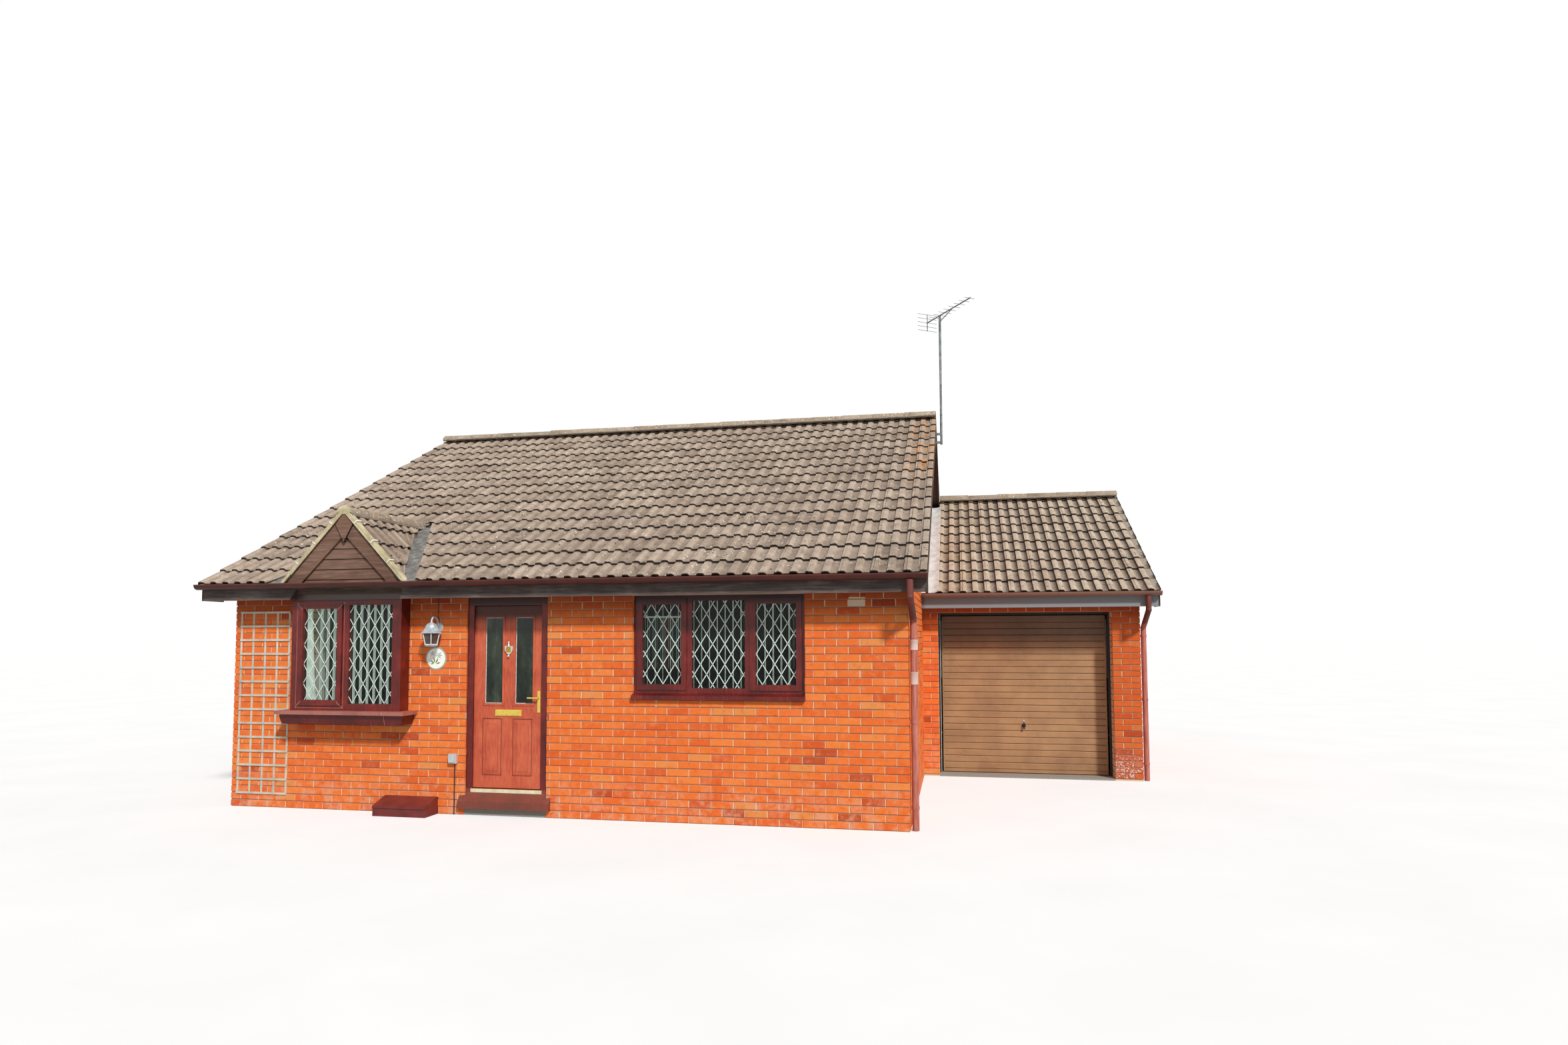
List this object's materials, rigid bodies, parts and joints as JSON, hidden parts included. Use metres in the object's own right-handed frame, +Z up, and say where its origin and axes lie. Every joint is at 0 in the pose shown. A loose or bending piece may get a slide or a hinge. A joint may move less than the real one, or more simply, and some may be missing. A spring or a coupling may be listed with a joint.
{
  "type": "bungalow",
  "caption": "Brick bungalow with a tiled gable roof, a box bay under a timber gablet, a panelled front door that opens and a garage with a canopy up-and-over door.",
  "frame": {"origin": "left corner of the front wall at ground level, as seen from in front", "axes": "+X along the front to the right, +Y into the depth, +Z up"},
  "size_m": [10.439, 9.6846, 6.555],
  "materials": {
    "concrete": "plain cast concrete",
    "brick": "orange-red facing brick with pale recessed joints",
    "roof_tile": "weathered grey-brown concrete tiles",
    "garage_tile": "weathered tan concrete tiles",
    "brown_timber": "faded brown stain",
    "dark_timber": "weathered dark brown stain",
    "red_timber": "mahogany stain with a satin sheen",
    "lead": "dull lead sheet and pale patinated flashing",
    "rainwater_plastic": "sun-faded red-brown plastic",
    "glass": "clear sealed panes",
    "blind_fabric": "white woven slats",
    "lamp_metal": "grey paint",
    "plaque_ceramic": "white glaze",
    "trellis_plastic": "off-white plastic laths",
    "meter_plastic": "dark red plastic",
    "socket_plastic": "pale grey plastic",
    "aerial_metal": "dull weathered metal",
    "door_red": "faded red-brown paint",
    "brass": "polished",
    "garage_door_paint": "faded tan-brown paint on pressed steel",
    "black_metal": "black",
    "arm_steel": "plain steel"
  },
  "bodies": {
    "bungalow": {"house_floor": "concrete", "garage_floor": "concrete", "front_wall_left": "brick", "front_wall_right": "brick", "front_wall_over_door": "brick", "rear_wall": "brick", "left_gable_wall": "brick", "right_gable_wall": "brick", "garage_pier_left": "brick", "garage_pier_right": "brick", "garage_wall_over_door": "brick", "garage_side_wall": "brick", "garage_rear_wall": "brick", "main_roof_front": "roof_tile", "main_roof_rear": "roof_tile", "garage_roof_front": "garage_tile", "garage_roof_rear": "garage_tile", "ridge_tiles": "garage_tile", "gablet_roof": "roof_tile", "gablet_boards": "brown_timber", "lead_flashings": "lead", "front_eaves": "dark_timber", "rear_eaves": "dark_timber", "barge_boards": "dark_timber", "gutters": "rainwater_plastic", "downpipes": "rainwater_plastic", "bay_window_frame": "red_timber", "bay_sill": "red_timber", "window_frames": "red_timber", "window_glass": "glass", "window_blinds": "blind_fabric", "door_frame": "red_timber", "garage_door_frame": "red_timber", "wall_lamp": "lamp_metal", "wall_plaque": "plaque_ceramic", "trellis": "trellis_plastic", "meter_box": "meter_plastic", "outdoor_socket": "socket_plastic", "aerial": "aerial_metal"},
    "door_leaf": {"front_door": "door_red", "front_door_glass": "glass", "front_door_furniture": "brass"},
    "arms": {"lifting_arms": "arm_steel"},
    "garage_panel": {"garage_door": "garage_door_paint", "garage_door_handle": "black_metal"}
  },
  "joints": [
    {"name": "front_door_hinge", "type": "hinge", "parent": "bungalow", "child": "door_leaf", "pos_m": [2.8365, 0.098, 1.2], "axis": [0, 0, 1], "range_deg": [0, 90]},
    {"name": "lifting_arm_pivot", "type": "hinge", "parent": "bungalow", "child": "arms", "pos_m": [8.61, 3.786, 2.024], "axis": [1, 0, 0], "range_deg": [0, 86]},
    {"name": "garage_panel_pivot", "type": "hinge", "parent": "arms", "child": "garage_panel", "pos_m": [8.61, 3.786, 1.279], "axis": [1, 0, 0], "range_deg": [-172, 0]}
  ],
  "couplings": [
    {"joint": "garage_panel_pivot", "follows": "lifting_arm_pivot", "ratio": -2}
  ]
}
